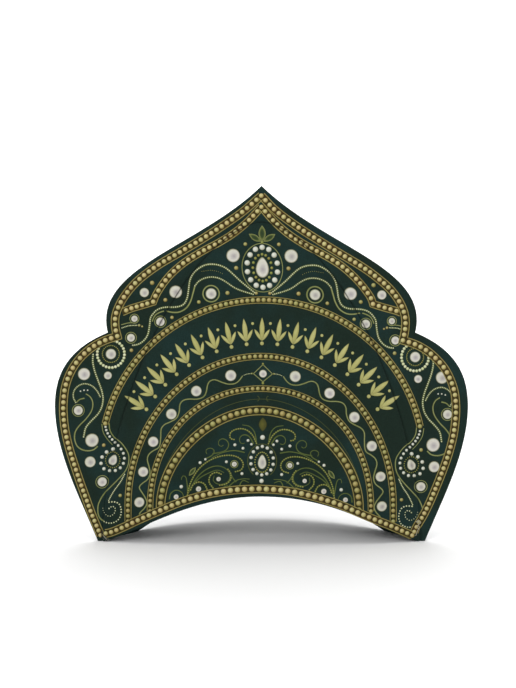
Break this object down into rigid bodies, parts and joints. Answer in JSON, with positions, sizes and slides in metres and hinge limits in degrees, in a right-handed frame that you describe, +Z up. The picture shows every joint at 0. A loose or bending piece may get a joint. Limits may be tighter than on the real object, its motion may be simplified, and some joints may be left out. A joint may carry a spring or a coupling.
{
  "type": "sauna hat",
  "caption": "Felt sauna hat: a tall lobed, pointed crown-shaped front panel with a plain back panel sewn behind it as a pocket for the head, open below.",
  "frame": {"origin": "under the middle of the bounding box, on the surface that the hat stands on", "axes": "+Z up to the point of the crown, -Y towards the viewer of the front panel, +X along the width"},
  "size_m": [0.36, 0.0964, 0.3105],
  "materials": {
    "printed_felt": "dark green felt, matt, with a printed gold and pearl ornament",
    "plain_felt": "plain dark green felt, matt",
    "thread": "sewing thread, slight sheen"
  },
  "bodies": {
    "root": {"front_panel": "printed_felt", "back_panel": "plain_felt"}
  },
  "joints": []
}
